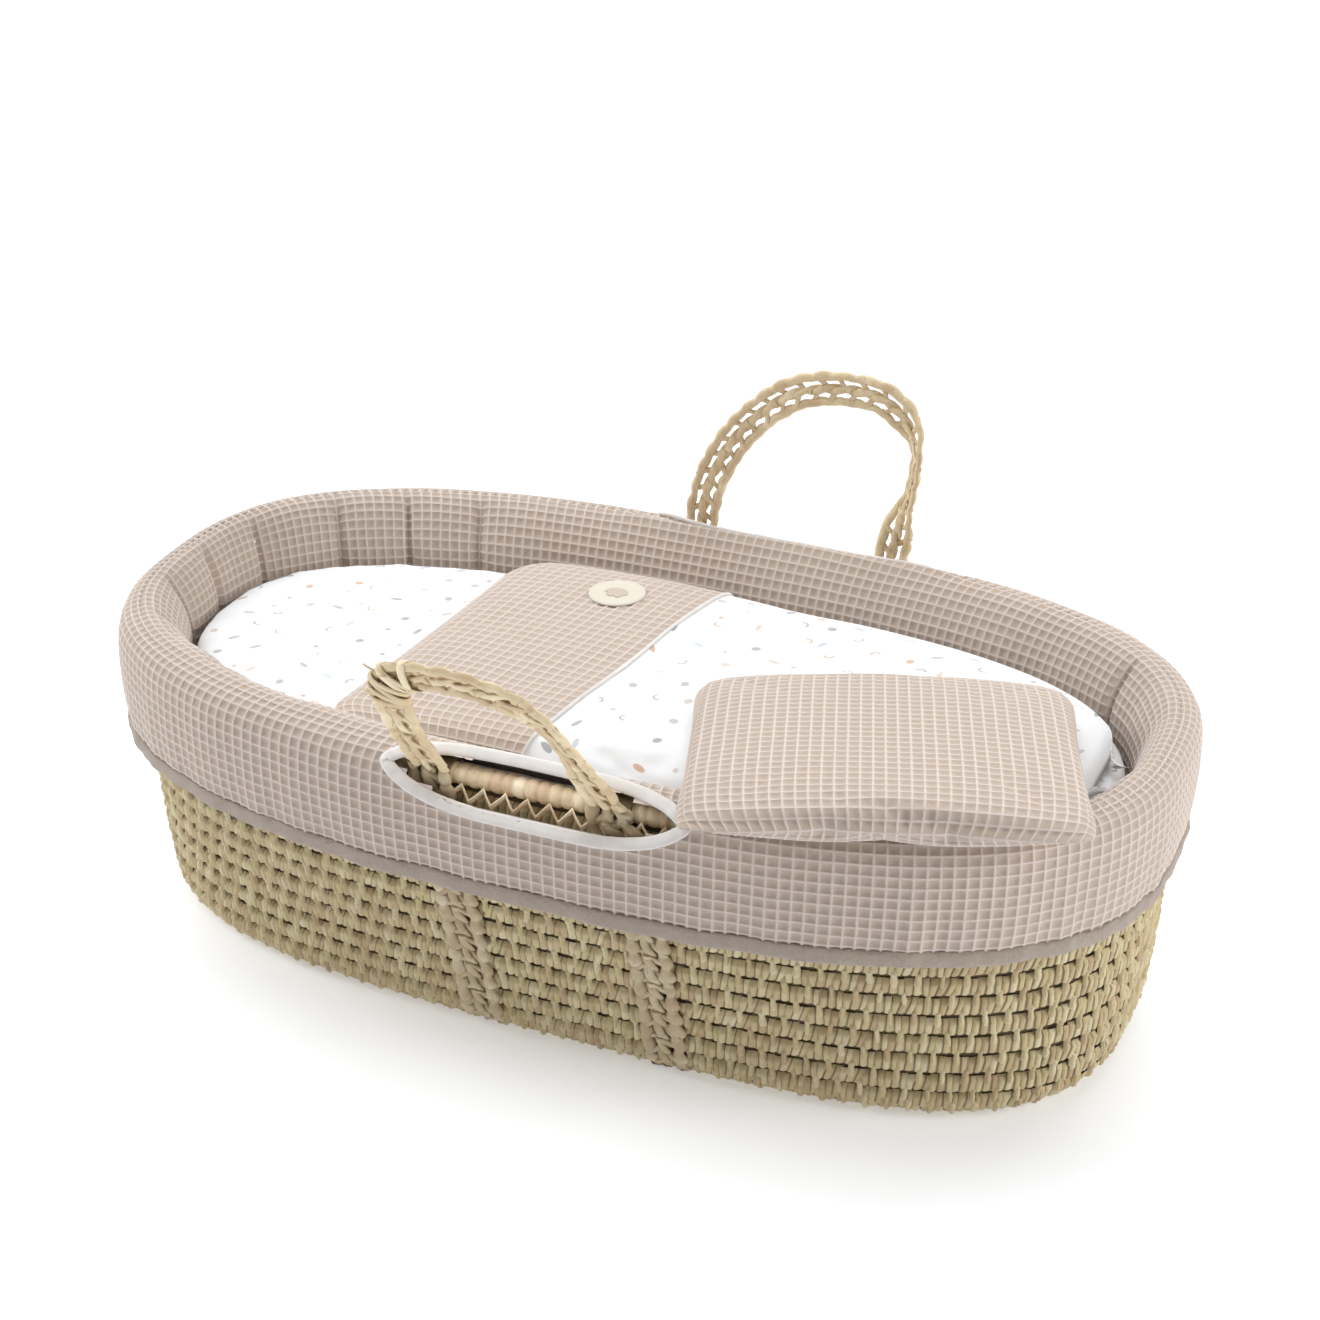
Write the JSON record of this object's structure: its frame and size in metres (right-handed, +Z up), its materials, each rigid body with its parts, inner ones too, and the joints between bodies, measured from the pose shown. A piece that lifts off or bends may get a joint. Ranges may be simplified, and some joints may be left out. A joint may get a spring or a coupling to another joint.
{
  "type": "moses basket",
  "caption": "Oval palm-leaf baby basket with braided carry handles, a padded waffle-cotton liner, mattress, quilt and flat pillow.",
  "frame": {"origin": "centre of the basket's underside, on the surface it stands on", "axes": "+X along the basket to its foot end, +Y across to the far handle, +Z up"},
  "size_m": [0.824, 0.5082, 0.3996],
  "materials": {
    "palm_plait": "matt dried palm leaf plait, yellow-green straw",
    "palm_braid": "matt dried palm leaf braid, warm straw",
    "palm_wrap": "satin wrapped palm leaf, tan straw",
    "waffle_cotton": "beige waffle-weave cotton",
    "hem_trim": "soft brushed beige binding",
    "white_binding": "white cotton binding",
    "printed_cotton": "white cotton with a sparse pastel print",
    "plain_cotton": "plain white cotton",
    "wadding": "white polyester wadding",
    "foam": "open-cell foam",
    "elastic": "woven elastic",
    "badge_felt": "cream felt",
    "motif_felt": "taupe felt"
  },
  "bodies": {
    "basket": {"basket_base": "palm_plait", "basket_wall": "palm_plait", "brace_left": "palm_braid", "brace_right": "palm_braid", "rim_roll": "palm_wrap", "lashing_near_left": "palm_wrap", "lashing_near_right": "palm_wrap", "lashing_far_left": "palm_wrap", "lashing_far_right": "palm_wrap", "liner_skirt": "waffle_cotton", "bumper_cover": "waffle_cotton", "bumper_pad": "wadding", "hem_binding": "hem_trim", "hem_elastic": "elastic", "slot_binding_near": "white_binding", "slot_binding_far": "white_binding", "liner_floor": "plain_cotton", "support_pad": "foam"},
    "near_handle": {"near_handle_strap": "palm_braid", "near_handle_splice": "palm_braid"},
    "far_handle": {"far_handle_strap": "palm_braid"},
    "mattress": {"mattress_core": "foam", "mattress_sheet": "printed_cotton", "sheet_elastic": "elastic"},
    "quilt": {"quilt_cover": "printed_cotton", "quilt_wadding": "wadding", "quilt_band": "waffle_cotton", "quilt_piping": "white_binding", "quilt_badge": "badge_felt", "badge_motif": "motif_felt"},
    "pillow": {"pillow_cover": "waffle_cotton", "pillow_fill": "wadding"}
  },
  "joints": [
    {"name": "near_handle_fold", "type": "hinge", "parent": "basket", "child": "near_handle", "pos_m": [0, -0.2155, 0.25], "axis": [1, 0, 0], "range_deg": [-17, 85]},
    {"name": "far_handle_fold", "type": "hinge", "parent": "basket", "child": "far_handle", "pos_m": [0.042, 0.2155, 0.25], "axis": [-1, 0, 0], "range_deg": [-15, 113]},
    {"name": "mattress_lift", "type": "slide", "parent": "basket", "child": "mattress", "axis": [0, 0, 1], "range_m": [0, 0.3]},
    {"name": "quilt_lift", "type": "slide", "parent": "mattress", "child": "quilt", "axis": [0, 0, 1], "range_m": [0, 0.2]},
    {"name": "pillow_lift", "type": "slide", "parent": "quilt", "child": "pillow", "axis": [0, 0, 1], "range_m": [0, 0.15]}
  ]
}
